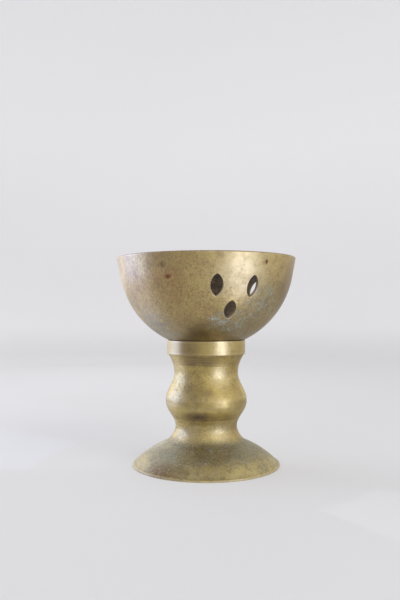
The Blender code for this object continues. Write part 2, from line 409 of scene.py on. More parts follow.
def pedestal_outside():
    """Down the outside, from the collar's top edge to the foot's lip."""
    top_round, base_round = COLLAR_TOP_ROUND, COLLAR_BASE_ROUND
    ledge = (COLLAR_RADIUS - COLLAR_LEDGE, COLLAR_BASE)
    points = arc((COLLAR_RADIUS - top_round, COLLAR_TOP - top_round), top_round, pi / 2, 0, 5)
    face_top = (COLLAR_RADIUS, COLLAR_TOP - top_round)
    face_base = (COLLAR_RADIUS, COLLAR_BASE + base_round)
    points += [(r + tool_mark(z), z) for r, z in line(face_top, face_base, 40)[1:]]
    points += arc((COLLAR_RADIUS - base_round, COLLAR_BASE + base_round), base_round, 0, -pi / 2, 4)
    points += cove(ledge, (NECK_RADIUS, NECK_HEIGHT), 48)
    points += swell((NECK_RADIUS, NECK_HEIGHT), (BELLY_RADIUS, BELLY_TOP), 52)
    points += line((BELLY_RADIUS, BELLY_TOP), (BELLY_RADIUS, BELLY_BASE), 4)[1:]
    points += [(BELLY_RADIUS, BELLY_BASE)]
    points += swell((BELLY_RADIUS, BELLY_BASE), (WAIST_RADIUS, WAIST_HEIGHT), 52)

    waist, shoulder = (WAIST_RADIUS, WAIST_HEIGHT), (SHOULDER_RADIUS, SHOULDER_HEIGHT)
    out_of_waist = (waist[0], waist[1] - WAIST_PULL)
    into_shoulder = (
        shoulder[0] - SHOULDER_PULL * cos(SHOULDER_SLOPE),
        shoulder[1] + SHOULDER_PULL * sin(SHOULDER_SLOPE),
    )
    points += bezier(waist, out_of_waist, into_shoulder, shoulder, 36)
    points += foot_arc(FOOT_CURVE, SHOULDER_SLOPE, FOOT_EDGE_SLOPE, 60)[1:]
    lip_centre = (FOOT_RADIUS - FOOT_LIP_ROUND, FOOT_LIP - FOOT_LIP_ROUND)
    points += arc(lip_centre, FOOT_LIP_ROUND, radians(70), 0, 4)
    points += [(FOOT_RADIUS, FOOT_CHAMFER), (FOOT_RADIUS - FOOT_CHAMFER, 0)]
    points = grooved(points, NECK_GROOVE, 0.45 * MM, 0.10 * MM)
    return grooved(points, BELLY_GROOVE, 0.5 * MM, 0.12 * MM)


def pedestal_inside():
    """Up the rough hollow, to the middle of the ceiling in the neck."""
    radius = FOOT_CURVE - FOOT_WALL
    centre_height = SHOULDER_HEIGHT - FOOT_CURVE * cos(SHOULDER_SLOPE)
    ground_slope = acos(-centre_height / radius)
    turn_centre = (CORE_END - CORE_ROUNDING, CORE_TOP - CORE_ROUNDING)
    hollow = foot_arc(radius, ground_slope, HOLLOW_TOP_SLOPE, 30)
    points = line((FOOT_RADIUS - 1.0 * MM, 0), (hollow[0][0] + 0.3 * MM, 0), 4)
    points += [(hollow[0][0] + 0.1 * MM, 0.1 * MM)] + hollow[1:]
    mouth = (CORE_MOUTH, CORE_MOUTH_HEIGHT)
    points += bezier(hollow[-1], (13.6 * MM, 11.6 * MM), (CORE_MOUTH, 13.2 * MM), mouth, 10)
    points += line((CORE_MOUTH, CORE_MOUTH_HEIGHT), (CORE_END, turn_centre[1]), 36)[1:]
    points += arc(turn_centre, CORE_ROUNDING, 0, pi / 2, 10)
    points += line((turn_centre[0], CORE_TOP), (0.2 * MM, CORE_TOP), 6)[1:]
    return points


def pedestal_hole():
    """The tapped hole, from the tip that the drill left up to the collar's top."""
    return [(0.2 * MM, HOLE_TIP)] + line((BOLT_BORE, HOLE_BASE), (BOLT_BORE, COLLAR_TOP), 80)


def thread_wave(angle, z):
    """From 0 at a thread's root to 1 at its crest, for a right-hand thread."""
    turn = (z / THREAD_PITCH - angle / (2 * pi)) % 1
    return min(1, max(0, 1.25 - 2.5 * abs(turn - 0.5)))


def make_pedestal():
    hole = pedestal_hole()
    outside = pedestal_outside()
    top = line((5.0 * MM, COLLAR_TOP), outside[0], 12)
    inside = pedestal_inside()
    outline = hole + top + outside + inside
    inside_start = len(outline) - len(inside)
    mouth = inside_start + 5

    def shape(angle, r, z, i):
        if 0 < i < len(hole):
            inward = min(1, (COLLAR_TOP - z) / (0.8 * MM), (z - HOLE_BASE) / (0.8 * MM))
            return BORE_ROOT - BORE_THREAD_DEPTH * thread_wave(angle, z) * inward, z
        if i >= mouth:
            rough = min(1, r / (4 * MM))
            lump = ripple(angle, r, z, 3.2 * MM, 0.16 * MM)
            return r + lump * rough, z + ripple(angle, r, z, 2 * MM, 0.05 * MM) * rough
        if z < 0.5 * MM or z > COLLAR_BASE:
            return r, z
        wave = ripple(angle, r, z, 9 * MM, 0.05 * MM) + ripple(angle, r, z, 2.5 * MM, 0.012 * MM)
        return r + wave, z

    mesh = turned_mesh("pedestal_turned", outline, closed=False, shape=shape)
    piece = add_object("pedestal_turned", mesh)
    smooth(piece)
    mark_pedestal(piece, outline, len(hole), mouth)
    return piece


def mark_pedestal(piece, outline, start, mouth):
    """Stores which points are in the rough hollow, which stand proud or lie low, and how far
    each is along the outline in mm, for the marks that the lathe left."""
    points = np.array(outline)
    step = np.linalg.norm(np.diff(points, axis=0), axis=1)
    along = np.concatenate(((0,), np.cumsum(step)))
    reach = 1.3 * MM
    proud = np.zeros(len(points))
    for i in range(start, mouth):
        ends = [along[i] - reach, along[i] + reach]
        before, after = np.transpose([np.interp(ends, along, points[:, k]) for k in (0, 1)])
        direction = after - before
        out = np.array((-direction[1], direction[0])) / np.linalg.norm(direction)
        proud[i] = np.dot(points[i] - (before + after) / 2, out) / reach
    inside = np.zeros(len(points))
    inside[mouth:] = 1
    set_attribute(piece, "inside", np.tile(inside, TURN_STEPS))
    set_attribute(piece, "edge", np.tile(np.clip(proud * 6, 0, 1), TURN_STEPS))
    set_attribute(piece, "hollow", np.tile(np.clip(-proud * 6, 0, 1), TURN_STEPS))
    set_attribute(piece, "along", np.tile(along / MM, TURN_STEPS))


# ---- fasteners


def make_stud():
    """Threaded over its whole length, with a chamfer at each end."""
    rings = 190
    length = STUD_HIGH.z - STUD_LOW.z
    chamfer = 0.75 * MM
    outline = [(STUD_RADIUS, STUD_HIGH.z - length * i / rings) for i in range(rings + 1)]

    def shape(angle, r, z, i):
        end = min(z - STUD_LOW.z, STUD_HIGH.z - z)
        threaded = r - THREAD_DEPTH * (1 - thread_wave(angle, z))
        return min(threaded, r - chamfer + end), z

    piece = add_object("stud_threaded", turned_mesh("stud_threaded", outline, 72, False, shape))
    smooth(piece, 40)
    return piece


def make_washer():
    """A stamped ring: its upper edge is rounded by the punch, its lower edge is sharp."""
    low, high, outer = WASHER_LOW.z, WASHER_HIGH.z, WASHER_HIGH.x
    rounding = 0.45 * MM
    points = arc((outer - rounding, high - rounding), rounding, pi / 2, 0, 6)
    points += line((outer, high - rounding), (outer - 0.05 * MM, low + 0.1 * MM), 5)[1:]
    points += [(outer - 0.05 * MM, low + 0.08 * MM), (outer - 0.15 * MM, low)]
    points += line((outer - 1.0 * MM, low), (BOLT_BORE + 0.1 * MM, low), 4)
    points += [(BOLT_BORE, low + 0.1 * MM), (BOLT_BORE, high - 0.3 * MM), (BOLT_BORE + 0.25 * MM, high)]
    points += line((BOLT_BORE + 0.5 * MM, high), points[0], 6)

    def shape(angle, r, z, i):
        wave = ripple(angle, r, z, 3 * MM, 0.04 * MM)
        return r + wave, z + ripple(angle, r, z, 2.5 * MM, 0.02 * MM)

    piece = add_object("washer_stamped", turned_mesh("washer_stamped", points, 96, True, shape))
    smooth(piece)
    return piece


def make_nut():
    """A hexagon whose corners are turned off at both faces, with a countersunk bore."""
    corner = (NUT_HIGH.y - NUT_LOW.y) / 2
    flat = (NUT_HIGH.x - NUT_LOW.x) / 2
    low, high = NUT_LOW.z, NUT_HIGH.z
    mesh = bpy.data.meshes.new("lock_nut_chamfered")
    shape = bmesh.new()
    middle = Matrix.Translation((0, 0, (low + high) / 2))
    turn = Matrix.Rotation(pi / 6 if flat > corner else 0, 4, "Z")
    radius = max(corner, flat)
    bmesh.ops.create_cone(shape, cap_ends=True, segments=6, radius1=radius, radius2=radius,
                          depth=high - low, matrix=middle @ turn)
    shape.to_mesh(mesh)
    shape.free()
    piece = add_object("lock_nut_chamfered", mesh)

    flats = radius * cos(pi / 6)
    fall = (radius - flats + 0.3 * MM) * tan(radians(30))
    side = [(flats - 0.3 * MM, high + 0.01 * MM), (radius + 0.1 * MM, high - fall)]
    side += [(radius + 0.1 * MM, low + fall), (flats - 0.3 * MM, low - 0.01 * MM)]
    boolean(piece, add_object("nut_turning", turned_mesh("nut_turning", side, 96, False)), "INTERSECT")

    sink = 0.5 * MM
    drill = [(BOLT_BORE + 2 * sink, high + sink), (BOLT_BORE, high - sink)]
    drill += [(BOLT_BORE, low + sink), (BOLT_BORE + 2 * sink, low - sink)]
    boolean(piece, add_object("nut_drill", turned_mesh("nut_drill", drill, 48, False)))
    bevel = piece.modifiers.new("edges", "BEVEL")
    bevel.width = 0.12 * MM
    bevel.segments = 2
    bevel.limit_method = "ANGLE"
    bevel.angle_limit = radians(25)
    apply_modifiers(piece)
    smooth(piece)
    return piece


# ---- materials

# Brass from clean to dark, what grows and settles on it, and tones that paint in light and shade.
BRIGHT = (0.80, 0.68, 0.40)
YELLOW = (0.60, 0.47, 0.21)
CLEAN_AND_HIGHLIGHT = (0.74, 0.60, 0.27)
GOLD = (0.66, 0.515, 0.18)
OLIVE = (0.48, 0.365, 0.165)
ROSE = (0.52, 0.32, 0.16)
BROWN = (0.27, 0.185, 0.10)
DARK = (0.085, 0.062, 0.042)
RICH_GOLD = (0.80, 0.62, 0.25)
DEEP_GOLD = (0.50, 0.38, 0.135)
COPPERY = (0.46, 0.29, 0.12)
BRUSHED_DARK = (0.49, 0.38, 0.15)
BRUSHED_LIGHT = (0.62, 0.49, 0.20)
# Painted shade on the collar's left side.
COLLAR_SIDE_SHADE = (0.50, 0.385, 0.16)
GREY_BROWN = (0.255, 0.235, 0.175)
DULL_GREEN = (0.245, 0.25, 0.195)
PATINA = (0.235, 0.21, 0.14)
BLOTCH = (0.20, 0.165, 0.11)
SPECKLE = (0.125, 0.11, 0.075)
PALE_GREEN = (0.36, 0.37, 0.28)
GREY_GREEN = (0.30, 0.32, 0.25)
VERDIGRIS = (0.53, 0.57, 0.52)
DEEP_RED = (0.20, 0.035, 0.025)
REDDISH_BROWN = (0.17, 0.10, 0.045)
UMBER = (0.14, 0.092, 0.055)
CAST_BROWN = (0.10, 0.072, 0.045)
SMOKED = (0.14, 0.092, 0.04)
SMOKED_BRASS = (0.32, 0.23, 0.11)
SMOKE_BROWN = (0.165, 0.115, 0.066)
SOOT_BROWN = (0.085, 0.06, 0.038)
SOOT_BLACK = (0.05, 0.036, 0.026)
ASH = (0.42, 0.38, 0.33)

BRASS_RELIEF = 0.00010
FASTENER_RELIEF = 0.00008
PAINT_RELIEF = 0.00005
COAT_ROUGHNESS = 0.35


class Graph:
    """Builds a material's nodes with short calls that take numbers, colours or sockets.
    Places and sizes are in mm."""

    def __init__(self, name):
        self.material = bpy.data.materials.new(name)
        self.material.use_nodes = True
        self.tree = self.material.node_tree
        self.shader = self.tree.nodes["Principled BSDF"]
        coordinates = self.node("TexCoord")
        self.place = self.vector("MULTIPLY", coordinates.outputs["Object"], (1000, 1000, 1000))

    def node(self, kind, inputs=(), **settings):
        node = self.tree.nodes.new("ShaderNode" + kind)
        for name, value in settings.items():
            setattr(node, name, value)
        for key, value in dict(inputs).items():
            self.put(node.inputs[key], value)
        return node

    def put(self, socket, value):
        if isinstance(value, bpy.types.NodeSocket):
            self.tree.links.new(value, socket)
        elif socket.type == "RGBA":
            socket.default_value = (*value, 1)
        else:
            socket.default_value = value

    def math(self, operation, a, b=0.0, clamp=False):
        return self.node("Math", {0: a, 1: b}, operation=operation, use_clamp=clamp).outputs[0]

    def times(self, *factors):
        product = factors[0]
        for factor in factors[1:]:
            product = self.math("MULTIPLY", product, factor)
        return product

    def add(self, a, b, clamp=False):
        return self.math("ADD", a, b, clamp)

    def most(self, *values):
        largest = values[0]
        for value in values[1:]:
            largest = self.math("MAXIMUM", largest, value)
        return largest

    def vector(self, operation, a, b):
        return self.node("VectorMath", {0: a, 1: b}, operation=operation).outputs[0]

    def step(self, value, low, high, bottom=0.0, top=1.0):
        """Smoothly from bottom to top as value goes from low to high."""
        inputs = {"Value": value, "From Min": low, "From Max": high, "To Min": bottom, "To Max": top}
        return self.node("MapRange", inputs, interpolation_type="SMOOTHSTEP").outputs[0]

    def band(self, value, low, high, soft):
        """1 between low and high, falling to 0 over soft on each side."""
        rise = self.step(value, low - soft, low)
        return self.times(rise, self.step(value, high, high + soft, 1, 0))

    def noise(self, size, detail, roughness, shift, place=None, warp=0.0):
        """Noise whose lumps are about size mm across."""
        moved = self.vector("ADD", place or self.place, (shift, shift * 0.7, -shift * 1.3))
        inputs = {"Vector": moved, "Scale": 1 / size, "Detail": detail}
        inputs.update({"Roughness": roughness, "Distortion": warp})
        return self.node("TexNoise", inputs).outputs[0]

    def lay_noises(self, cloud, mottle, fine, grain, shifts):
        """The layers that a brass shares, given their sizes in mm, and its height in mm."""
        self.height = self.split()[2]
        self.cloud = self.noise(cloud, 4, 0.5, shifts[0])
        self.mottle = self.noise(mottle, 5, 0.62, shifts[1], warp=0.3)
        self.fine = self.noise(fine, 4, 0.6, shifts[2])
        self.grain = self.noise(grain, 2, 0.6, shifts[3])

    def specks(self, spacing, share, shift):
        """Small round marks: spacing mm apart, share of the cells' size across."""
        moved = self.vector("ADD", self.place, (shift, -shift, shift))
        cells = self.node("TexVoronoi", {"Vector": moved, "Scale": 1 / spacing})
        return self.step(cells.outputs["Distance"], share * 0.55, share, 1, 0)

    def mix(self, share, a, b):
        node = self.node("Mix", {0: share, 6: a, 7: b}, data_type="RGBA")
        return node.outputs[2]

    def lay(self, colour, over, *factors):
        """A colour laid over another, its share the product of the factors."""
        return self.mix(self.times(*factors), colour, over)

    def total(self, *terms):
        """The sum of terms, each a product of its factors."""
        result = self.times(*terms[0])
        for factors in terms[1:]:
            result = self.add(result, self.times(*factors))
        return result

    def attribute(self, name):
        return self.node("Attribute", attribute_name=name).outputs["Fac"]

    def split(self):
        parts = self.node("SeparateXYZ", {0: self.place}).outputs
        return parts[0], parts[1], parts[2]

    def spot(self, azimuth, radius, height, size, soft=0.5, tall=1.0):
        """1 near a place on the wall, 0 from size mm away. Degrees and mm."""
        centre = (radius * sin(radians(azimuth)), -radius * cos(radians(azimuth)), height)
        away = self.vector("SUBTRACT", self.place, centre)
        away = self.vector("MULTIPLY", away, (1, 1, 1 / tall))
        distance = self.node("VectorMath", {0: away}, operation="LENGTH").outputs["Value"]
        return self.step(distance, size * (1 - soft), size, 1, 0)

    def turning(self, spacing, shift):
        """Fine rings that the lathe left, from the attribute along, a little broken round the axis."""
        x, y, _ = self.split()
        around = self.node("CombineXYZ", {0: self.times(x, 0.02), 1: self.times(y, 0.02)}).outputs[0]
        rings = self.times(self.attribute("along"), 1 / spacing)
        place = self.node("CombineXYZ", {2: rings}).outputs[0]
        return self.noise(1, 2, 0.6, shift, self.vector("ADD", around, place))

    def finish(self, colour, metallic, roughness, height, relief):
        """Sets the shader, with height as bumps that are relief metres deep."""
        bump = self.node("Bump", {"Height": height, "Distance": relief, "Strength": 1.0})
        inputs = {"Base Color": colour, "Metallic": metallic, "Roughness": roughness}
        inputs["Normal"] = bump.outputs[0]
        for name, value in inputs.items():
            self.put(self.shader.inputs[name], value)
        return self.material

    def coat(self, weight, roughness):
        """A thin clear film of wax and grease over the metal."""
        self.put(self.shader.inputs["Coat Weight"], weight)
        self.put(self.shader.inputs["Coat Roughness"], roughness)


def bowl_material():
    """Worn brass: yellow under the rim with a painted highlight at the front right, brown and grey-green
    below with painted shade at the seat, sooty inside.
    """
    g = Graph("bowl_aged_brass")
    g.lay_noises(17, 4.2, 1.1, 0.28, (3, 11, 23, 31))
    inside = g.step(g.attribute("inside"), 0.60, 1.0)
    cut = g.times(g.attribute("vent"), g.step(g.attribute("inside"), 0.12, 0.30))

    colour = bowl_metal(g)
    colour = bowl_underside(g, colour)
    colour, haze, crust = bowl_verdigris(g, colour)
    colour, marks = bowl_marks(g, colour)
    colour = bowl_edges(g, colour)
    colour = g.mix(inside, colour, bowl_soot(g))
    # Smoke stain, and painted shade, on the vents' cut walls.
    colour = g.lay(colour, SMOKED, cut, 0.8)

    dull = g.most(g.times(crust, 0.9), g.times(haze, 0.5), g.times(inside, 0.55), g.times(cut, 0.7))
    metallic = g.math("SUBTRACT", 0.97, g.times(dull, 0.8))
    roughness = g.add(g.step(g.cloud, 0.3, 0.7, 0.35, 0.29), g.times(g.fine, 0.12))
    roughness = g.add(roughness, g.times(dull, 0.35), True)

    metal_height = g.total((g.mottle, 0.30), (g.fine, 0.22), (g.grain, 0.10), (g.turning(0.35, 5), 0.08))
    height = g.total((metal_height,), (crust, 0.35), (marks, -0.5), (inside, g.fine, 0.8))
    g.coat(0.08, COAT_ROUGHNESS)
    return g.finish(colour, metallic, roughness, height, BRASS_RELIEF)


def bowl_metal(g):
    """The metal itself, from brown tarnish to a painted highlight at the front right."""
    # Painted highlight at the front right, high on the wall: tarnish and flecks thin out inside it, and
    # bright brass is laid over it.
    painted_highlight = g.spot(23, 42.6, 92, 22, 0.95, 0.8)
    colour = g.mix(g.step(g.cloud, 0.34, 0.66), OLIVE, YELLOW)
    tarnish = g.times(g.step(g.mottle, 0.42, 0.72), g.step(painted_highlight, 0, 0.7, 0.50, 0.15))
    colour = g.mix(tarnish, colour, BROWN)
    warm_zone = g.add(g.spot(-18, 43, 86, 26, 0.9, 0.8), 0.25, True)
    rosy = g.times(g.step(g.noise(5, 5, 0.65, 41), 0.40, 0.60), warm_zone, 0.70)
    colour = g.mix(rosy, colour, ROSE)
    patch = g.times(g.spot(-20, 43, 86, 17, 0.9), g.step(g.mottle, 0.38, 0.56, 0.2, 1))
    colour = g.lay(colour, COPPERY, patch, 0.5)
    golden = g.step(g.noise(3.2, 5, 0.7, 45), 0.52, 0.66)
    golden = g.times(golden, g.add(g.spot(4, 44, 88, 26, 0.9), 0.3, True), 0.7)
    colour = g.mix(golden, colour, RICH_GOLD)
    colour = g.lay(colour, BROWN, g.spot(76, 42, 84, 22, 0.9, 1.1), 0.80)
    colour = g.lay(colour, BROWN, g.spot(68, 43, 92, 15, 0.9), 0.50)
    colour = g.lay(colour, YELLOW, g.spot(-30, 40, 78, 15, 0.9), 0.40)
    colour = g.lay(colour, CLEAN_AND_HIGHLIGHT, g.spot(0, 43, 87, 18, 0.9), 0.60)
    colour = g.lay(colour, BROWN, g.step(g.fine, 0.46, 0.64), 0.50)
    flecks = g.step(g.noise(0.6, 3, 0.7, 87), 0.54, 0.64, 0, 0.60)
    colour = g.lay(colour, BROWN, flecks, g.step(painted_highlight, 0.6, 0, 0.3, 1))
    colour = g.lay(colour, BRIGHT, g.step(g.grain, 0.50, 0.75), 0.35)

    # Brighter upper front, centred on the painted highlight: polish, and a painted glow round the
    # highlight.
    upper = g.times(g.step(g.height, 84, 102), g.spot(25, 43, 96, 40, 0.9))
    colour = g.lay(colour, CLEAN_AND_HIGHLIGHT, upper, g.step(g.mottle, 0.74, 0.38), 0.7)
    # Bright brass over the painted highlight.
    return g.lay(colour, BRIGHT, painted_highlight, g.step(g.mottle, 0.85, 0.36), 0.70)


def bowl_underside(g, colour):
    """Tarnish that thickens towards the seat, with painted shade there too, and painted shade along the
    seam with the collar and under the bowl's front.
    """
    # Darker towards the seat: tarnish, and painted shade for the dark reflection from below.
    low = g.times(g.step(g.height, 75, 64), g.step(g.cloud, 0.30, 0.55, 0.6, 1))
    colour = g.lay(colour, BROWN, low, 0.26)
    colour = g.lay(colour, GREY_BROWN, low, g.step(g.mottle, 0.36, 0.60, 0.35, 0.65))
    # Painted shade along the seam with the collar and under the bowl's front.
    seam_shade = g.times(g.step(g.height, 62.3, 61.8), 0.25)
    front_shade = g.times(g.spot(-7, 25, 65.6, 10, 0.9, 0.4), 0.30)
    return g.mix(g.most(seam_shade, front_shade), colour, DARK)


def bowl_verdigris(g, colour):
    """Grey-green film in a few zones, with pale crust in specks and one smear below a vent."""
    zone = g.most(
        g.spot(20, 34, 71, 16, 0.8, 0.6),
        g.spot(42, 39, 78, 15, 0.8),
        g.times(g.spot(-50, 33, 71, 17, 0.9, 0.7), 0.9),
        g.spot(150, 36, 74, 24, 0.9, 0.7),
        g.spot(255, 34, 72, 20, 0.9, 0.7),
    )
    haze = g.times(zone, g.step(g.noise(3.5, 5, 0.7, 49), 0.36, 0.56), 0.62)
    colour = g.mix(haze, colour, DULL_GREEN)

    grit = g.most(g.step(g.noise(0.75, 3, 0.75, 57), 0.54, 0.61), g.specks(1.0, 0.42, 11))
    crust = g.times(haze, grit, g.step(g.noise(3.0, 3, 0.6, 52), 0.42, 0.56))
    crust = g.times(crust, g.step(g.split()[0], -18, -4, 0.4, 1.6))
    smear = g.most(g.spot(6, 33.4, 72.6, 4.2, 0.85, 0.5), g.spot(12, 33.0, 70.9, 4.4, 0.85, 0.45))
    crust = g.most(crust, g.times(smear, g.step(g.noise(0.9, 4, 0.75, 58), 0.44, 0.56)))
    return g.mix(crust, colour, VERDIGRIS), haze, crust


def bowl_marks(g, colour):
    """Dark stains and pits, and two red spots."""
    stain = g.times(g.specks(3.1, 0.16, 7), g.step(g.noise(9, 2, 0.5, 61), 0.52, 0.62), 0.6)
    stain = g.most(stain, g.times(g.spot(-27.0, 43.9, 96.8, 2.4, 0.9), 0.6))
    pits = g.times(g.step(g.noise(0.8, 2, 0.5, 71), 0.66, 0.72), g.step(g.cloud, 0.62, 0.45), 0.6)
    marks = g.most(stain, pits)
    colour = g.lay(colour, DARK, marks, 0.8)
    red = g.most(g.spot(-24.0, 43.4, 91.4, 2.7, 0.8, 0.65), g.spot(37.8, 44, 98.2, 1.1, 0.6, 1.4))
    return g.lay(colour, DEEP_RED, red, 0.9), marks


def bowl_edges(g, colour):
    """Browner round the vents, worn bright on their edges, and brown again on the rim's face."""
    vent = g.attribute("vent")
    colour = g.lay(colour, BROWN, vent, g.step(g.fine, 0.45, 0.6), 0.35)
    edge = g.attribute("edge")
    colour = g.lay(colour, BRIGHT, edge, g.step(g.fine, 0.30, 0.50), 0.5)
    rim = g.step(g.height, 101.9, 102.4)
    return g.lay(colour, BROWN, rim, g.step(g.mottle, 0.30, 0.50), 0.75)


def bowl_soot(g):
    """Smoke-brown metal inside, with ash on the floor and cleaner metal at the lip."""
    soot = g.mix(g.step(g.cloud, 0.35, 0.65), SOOT_BROWN, SMOKE_BROWN)
    soot = g.lay(soot, SMOKED_BRASS, g.step(g.mottle, 0.46, 0.72), 0.50)
    soot = g.lay(soot, SOOT_BLACK, g.step(g.fine, 0.42, 0.62), 0.75)
    ash = g.times(g.step(g.height, 80, 64), g.step(g.noise(1.3, 5, 0.7, 83), 0.38, 0.64))
    soot = g.lay(soot, ASH, ash, 0.60)
    lip = g.step(g.height, 97, 101.5)
    return g.lay(soot, OLIVE, lip, 0.55)


def pedestal_material():
    """Turned brass: a brushed collar, golden stem, darker in its hollows, and a dull domed foot, with
    painted highlights on the collar, stem and foot and painted shade on the collar and stem.
    """
    g = Graph("pedestal_aged_brass")
    g.lay_noises(13, 3.6, 1.0, 0.25, (2, 13, 29, 37))
    rings = g.turning(0.32, 9)
    broad_rings = g.turning(1.3, 19)
    collar = g.step(g.height, 54.6, 55.3)
    inside = g.attribute("inside")

    colour = stem_metal(g, broad_rings)
    colour = g.lay(colour, collar_metal(g, rings), collar, 0.9)
    # Darker in the cove, under the belly and in the grooves.
    darkening = stem_darkening(g, rings)
    colour = g.mix(darkening, colour, UMBER)
    colour, patina, haze, crust = foot_patina(g, colour)
    pits = stem_pits(g, collar)
    colour = g.lay(colour, DARK, pits, 0.8)
    edge = g.times(g.attribute("edge"), g.step(g.fine, 0.32, 0.52))
    colour = g.lay(colour, BRIGHT, edge, g.step(collar, 0, 1, 0.40, 0.15))
    cast = g.mix(g.step(g.mottle, 0.4, 0.65), CAST_BROWN, BROWN)
    cast = g.lay(cast, GREY_GREEN, g.step(g.fine, 0.55, 0.68), 0.5)
    colour = g.mix(inside, colour, cast)

    dull = g.most(g.times(crust, 0.9), g.times(haze, 0.40), g.times(darkening, 0.6), g.times(inside, 0.6))
    metallic = g.math("SUBTRACT", 0.97, g.times(dull, 0.75))
    roughness = g.add(g.step(g.cloud, 0.3, 0.7, 0.34, 0.28), g.times(g.fine, 0.12))
    roughness = g.add(roughness, g.times(patina, 0.10))
    roughness = g.math("SUBTRACT", roughness, g.times(collar, 0.04))
    roughness = g.add(roughness, g.times(dull, 0.35), True)

    lumps = g.total((g.mottle, 0.25), (g.fine, 0.20))
    height = g.total(
        (lumps, g.step(collar, 0, 1, 1, 0.25)),
        (g.grain, g.step(collar, 0, 1, 0.10, 0.03)),
        (rings, g.step(collar, 0, 1, 0.16, 0.24)),
        (broad_rings, 0.10),
        (crust, 0.3),
        (pits, -0.6),
        (inside, g.fine, 1.6),
    )
    g.coat(0.12, COAT_ROUGHNESS)
    return g.finish(colour, metallic, roughness, height, BRASS_RELIEF)


def stem_metal(g, broad_rings):
    """Golden brass with brown tarnish, painted shade on the belly's front left, and painted highlights
    on the neck and on both sides of the waist.
    """
    colour = g.mix(g.step(g.cloud, 0.34, 0.62), DEEP_GOLD, GOLD)
    colour = g.lay(colour, BROWN, g.step(g.mottle, 0.46, 0.74), 0.45)
    colour = g.lay(colour, BROWN, g.step(broad_rings, 0.50, 0.70), 0.20)
    colour = g.lay(colour, BROWN, g.step(g.fine, 0.46, 0.68), 0.34)
    # Painted shade on the belly's front left.
    shade = g.times(g.spot(-22, 20, 33, 13, 0.9, 1.3), g.step(g.mottle, 0.32, 0.56, 0.5, 1))
    colour = g.lay(colour, BROWN, shade, 0.45)
    # Painted highlights on the waist at the front left and front right, and on the neck at the front
    # right.
    left = g.times(g.spot(-22, 16, 18.5, 10, 0.9), 0.6)
    painted_highlights = g.most(g.spot(25, 16, 18, 11, 0.9), g.spot(25, 17, 45, 9, 0.9), left)
    return g.lay(colour, BRIGHT, painted_highlights, 0.6)


def collar_metal(g, rings):
    """The collar, brushed round by the lathe, with a painted highlight at the front right and painted
    shade at the front left and on the left side.
    """
    tone = g.mix(g.step(rings, 0.42, 0.72), BRUSHED_DARK, BRUSHED_LIGHT)
    # Painted highlight on the collar at the front right.
    tone = g.lay(tone, BRIGHT, g.spot(24, 19.5, 58, 9, 0.9), 0.5)
    tone = g.lay(tone, BROWN, g.step(g.mottle, 0.44, 0.66), 0.25)
    # Painted shade on the collar at the front left.
    shade = g.times(g.spot(-32, 19.5, 58, 12, 0.9), g.step(g.fine, 0.30, 0.50, 0.5, 1))
    tone = g.lay(tone, BROWN, shade, 0.72)
    # Browner base on the collar's left side: painted shade that tones its bright reflection down.
    return g.lay(tone, COLLAR_SIDE_SHADE, g.spot(-62, 19.5, 58, 13, 0.9), 0.6)


def stem_darkening(g, rings):
    """Darker in the cove under the collar, in the hollow under the belly and in the grooves, most at the
    front left.
    """
    cove_dark = g.times(g.band(g.height, 50.2, 54.4, 1.4), g.step(rings, 0.36, 0.58, 0.45, 1))
    cove_dark = g.times(cove_dark, g.step(g.noise(9, 3, 0.5, 43), 0.30, 0.52, 0.3, 1))
    front_left = g.spot(-12, 17, 52, 14, 0.9)
    cove_dark = g.times(cove_dark, g.add(g.times(front_left, 0.72), 0.16, True))
    uneven = g.step(g.noise(7, 4, 0.6, 47), 0.34, 0.58, 0.2, 1)
    belly_dark = g.times(g.band(g.height, 24.2, 25.6, 2.2), uneven)
    belly_dark = g.times(belly_dark, g.add(g.spot(-9, 17, 26, 11, 0.9), 0.2, True), 0.8)
    front_dark = g.times(g.spot(-12, 18, 25.8, 8.5, 0.9, 0.42), g.step(g.fine, 0.28, 0.50, 0.5, 1))
    in_grooves = g.times(g.attribute("hollow"), g.step(g.fine, 0.38, 0.55), 0.35)
    return g.most(cove_dark, belly_dark, front_dark, in_grooves)


